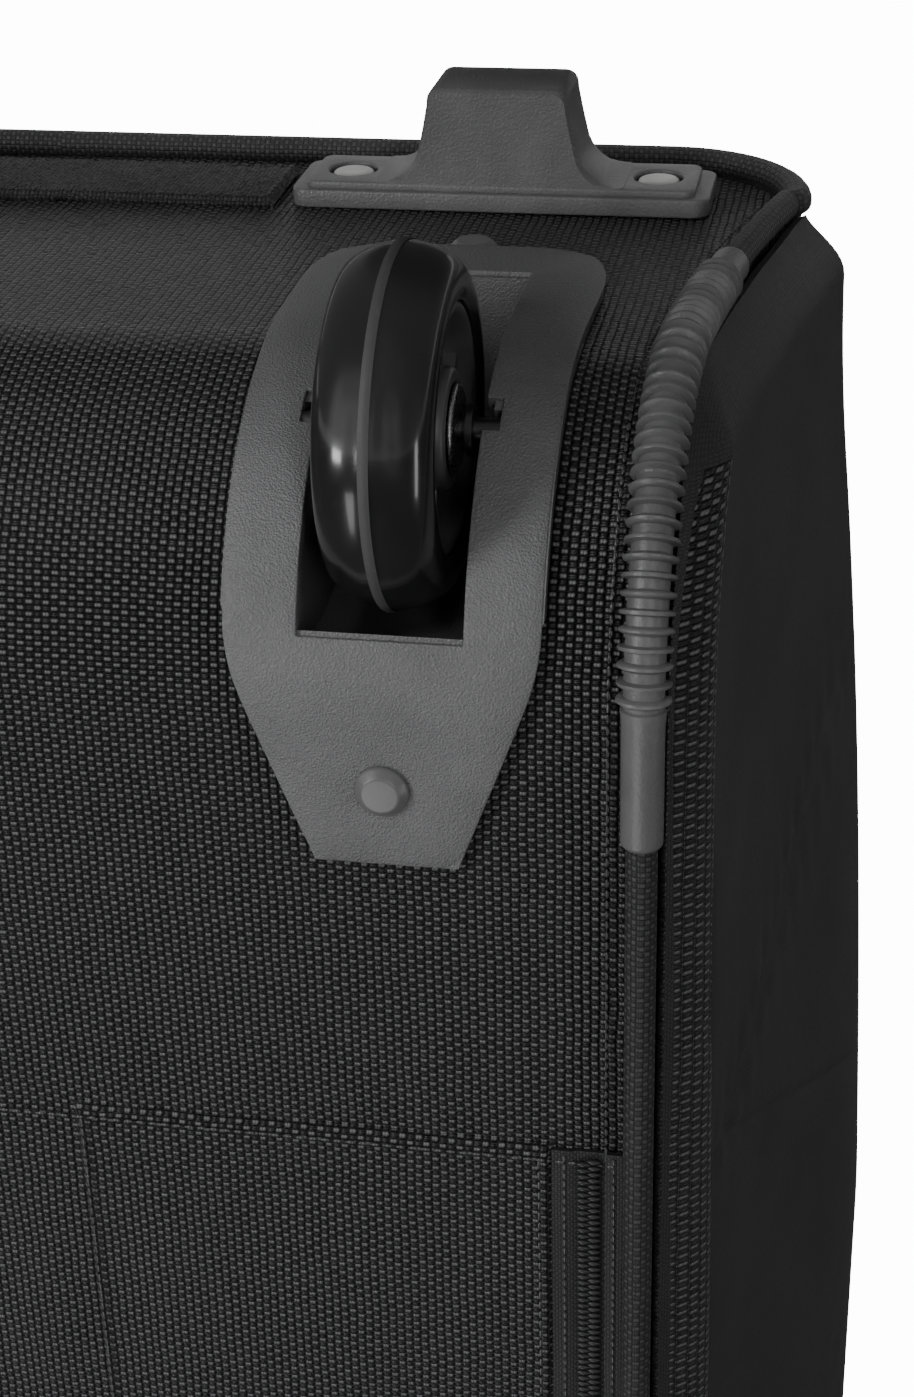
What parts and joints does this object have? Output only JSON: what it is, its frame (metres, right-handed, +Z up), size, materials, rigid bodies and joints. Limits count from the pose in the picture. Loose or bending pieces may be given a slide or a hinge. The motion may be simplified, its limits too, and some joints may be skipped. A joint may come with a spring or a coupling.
{
  "type": "softside upright suitcase",
  "caption": "Softside upright suitcase with recessed wheels, ribbed corner guards, riveted feet, piped edges, zipped opening front with pockets and a telescoping pull handle.",
  "frame": {"origin": "centre of the bounding box in plan, on the ground under the wheels and feet", "axes": "+Z up, +Y out of the back face with the wheels and pull handle, +X to the right seen from the front"},
  "size_m": [0.426, 0.2476, 0.655],
  "materials": {
    "ballistic": "coarse basket weave",
    "fine_cloth": "fine plain weave",
    "piping": "covered cord",
    "guard": "ribbed, satin",
    "board": "matt",
    "frame_rod": "satin",
    "lining": "thin lining cloth",
    "housing": "pebbled",
    "dark_rivet": "satin",
    "axle": "satin",
    "tyre": "glossy flanks, matt ridge",
    "hub": "satin",
    "bearing": "satin",
    "foot": "satin",
    "light_rivet": "satin",
    "loop_strip": "fuzzy loops",
    "tube": "satin anodised",
    "black_plastic": "fine texture",
    "button": "satin",
    "webbing": "ribbed webbing",
    "zip_tape": "coil zip and tape",
    "zip_metal": "dark satin"
  },
  "bodies": {
    "case": {"back_bottom_panel": "ballistic", "side_panel_left": "fine_cloth", "side_panel_right": "fine_cloth", "top_panel": "fine_cloth", "front_sill": "fine_cloth", "edge_piping": "piping", "corner_guard_left": "guard", "corner_guard_right": "guard", "back_board": "board", "frame_rods": "frame_rod", "lining": "lining", "wheel_housing_left": "housing", "wheel_housing_right": "housing", "housing_rivets": "dark_rivet", "wheel_axles": "axle", "foot_left": "foot", "foot_right": "foot", "foot_rivets": "light_rivet", "bottom_loop_strip": "loop_strip", "outer_tubes": "tube", "handle_tray": "black_plastic", "tube_bracket": "black_plastic", "handle_screws": "axle", "top_handle_caps": "black_plastic", "side_handle_caps": "black_plastic", "back_pockets": "ballistic", "back_zips": "zip_tape", "main_zip_case": "zip_tape", "hinge_welt": "piping", "tie_straps": "webbing"},
    "wheel_left": {"tyre_left": "tyre", "hub_left": "hub", "bearings_left": "bearing"},
    "wheel_right": {"tyre_right": "tyre", "hub_right": "hub", "bearings_right": "bearing"},
    "handle_stage_1": {"middle_tubes": "tube", "middle_collars": "black_plastic"},
    "handle_stage_2": {"inner_tubes": "tube", "grip_base": "black_plastic", "grip_cover": "black_plastic"},
    "grip_button": {"release_button": "button", "release_rods": "axle"},
    "lid": {"lid_shell": "fine_cloth", "lid_piping": "piping", "main_zip_lid": "zip_tape", "lid_inner_pocket": "lining", "front_pocket": "ballistic", "slim_pocket": "ballistic", "pocket_zips": "zip_tape"},
    "front_slider": {"front_pocket_slider": "zip_metal"},
    "slim_slider": {"slim_pocket_slider": "zip_metal"},
    "zip_slider_left": {"main_slider_left": "zip_metal"},
    "zip_slider_right": {"main_slider_right": "zip_metal"},
    "zip_pull_left": {"main_pull_left": "zip_metal"},
    "zip_pull_right": {"main_pull_right": "zip_metal"},
    "back_zip_slider_left": {"back_slider_left": "zip_metal"},
    "back_zip_slider_right": {"back_slider_right": "zip_metal"},
    "top_carry_handle": {"top_handle": "webbing"},
    "side_carry_handle": {"side_handle": "webbing"}
  },
  "joints": [
    {"name": "wheel_left_spin", "type": "hinge", "parent": "case", "child": "wheel_left", "pos_m": [-0.124, 0.0853, 0.0385], "axis": [1, 0, 0], "continuous": true},
    {"name": "wheel_right_spin", "type": "hinge", "parent": "case", "child": "wheel_right", "pos_m": [0.124, 0.0853, 0.0385], "axis": [1, 0, 0], "continuous": true},
    {"name": "handle_stage_1_slide", "type": "slide", "parent": "case", "child": "handle_stage_1", "axis": [0, 0, 1], "range_m": [0, 0.205]},
    {"name": "handle_stage_2_slide", "type": "slide", "parent": "handle_stage_1", "child": "handle_stage_2", "axis": [0, 0, 1], "range_m": [0, 0.205]},
    {"name": "release_button_press", "type": "slide", "parent": "handle_stage_2", "child": "grip_button", "axis": [0, 0, -1], "range_m": [0, 0.003], "stiffness_N_per_m": 900, "springref_m": -0.002},
    {"name": "lid_hinge", "type": "hinge", "parent": "case", "child": "lid", "pos_m": [0, -0.0757, 0.18], "axis": [1, 0, 0], "range_deg": [0, 105]},
    {"name": "front_pocket_slider_run", "type": "slide", "parent": "lid", "child": "front_slider", "axis": [1, 0, 0], "range_m": [0, 0.168]},
    {"name": "slim_pocket_slider_run", "type": "slide", "parent": "lid", "child": "slim_slider", "axis": [1, 0, 0], "range_m": [0, 0.168]},
    {"name": "main_slider_left_run", "type": "slide", "parent": "case", "child": "zip_slider_left", "axis": [-1, 0, 0], "range_m": [0, 0.1]},
    {"name": "main_slider_right_run", "type": "slide", "parent": "case", "child": "zip_slider_right", "axis": [1, 0, 0], "range_m": [0, 0.1]},
    {"name": "main_pull_left_swing", "type": "hinge", "parent": "zip_slider_left", "child": "zip_pull_left", "pos_m": [-0.026, -0.0407, 0.6363], "axis": [0, 1, 0], "range_deg": [0, 100]},
    {"name": "main_pull_right_swing", "type": "hinge", "parent": "zip_slider_right", "child": "zip_pull_right", "pos_m": [0.026, -0.0407, 0.6363], "axis": [0, -1, 0], "range_deg": [0, 100]},
    {"name": "back_slider_left_run", "type": "slide", "parent": "case", "child": "back_zip_slider_left", "axis": [0, 0, -1], "range_m": [0, 0.28]},
    {"name": "back_slider_right_run", "type": "slide", "parent": "case", "child": "back_zip_slider_right", "axis": [0, 0, -1], "range_m": [0, 0.28]},
    {"name": "top_handle_lift", "type": "slide", "parent": "case", "child": "top_carry_handle", "axis": [0, 0, 1], "range_m": [0, 0.008], "stiffness_N_per_m": 60, "springref_m": -0.002},
    {"name": "side_handle_lift", "type": "slide", "parent": "case", "child": "side_carry_handle", "axis": [-1, 0, 0], "range_m": [0, 0.008], "stiffness_N_per_m": 60, "springref_m": -0.002}
  ]
}
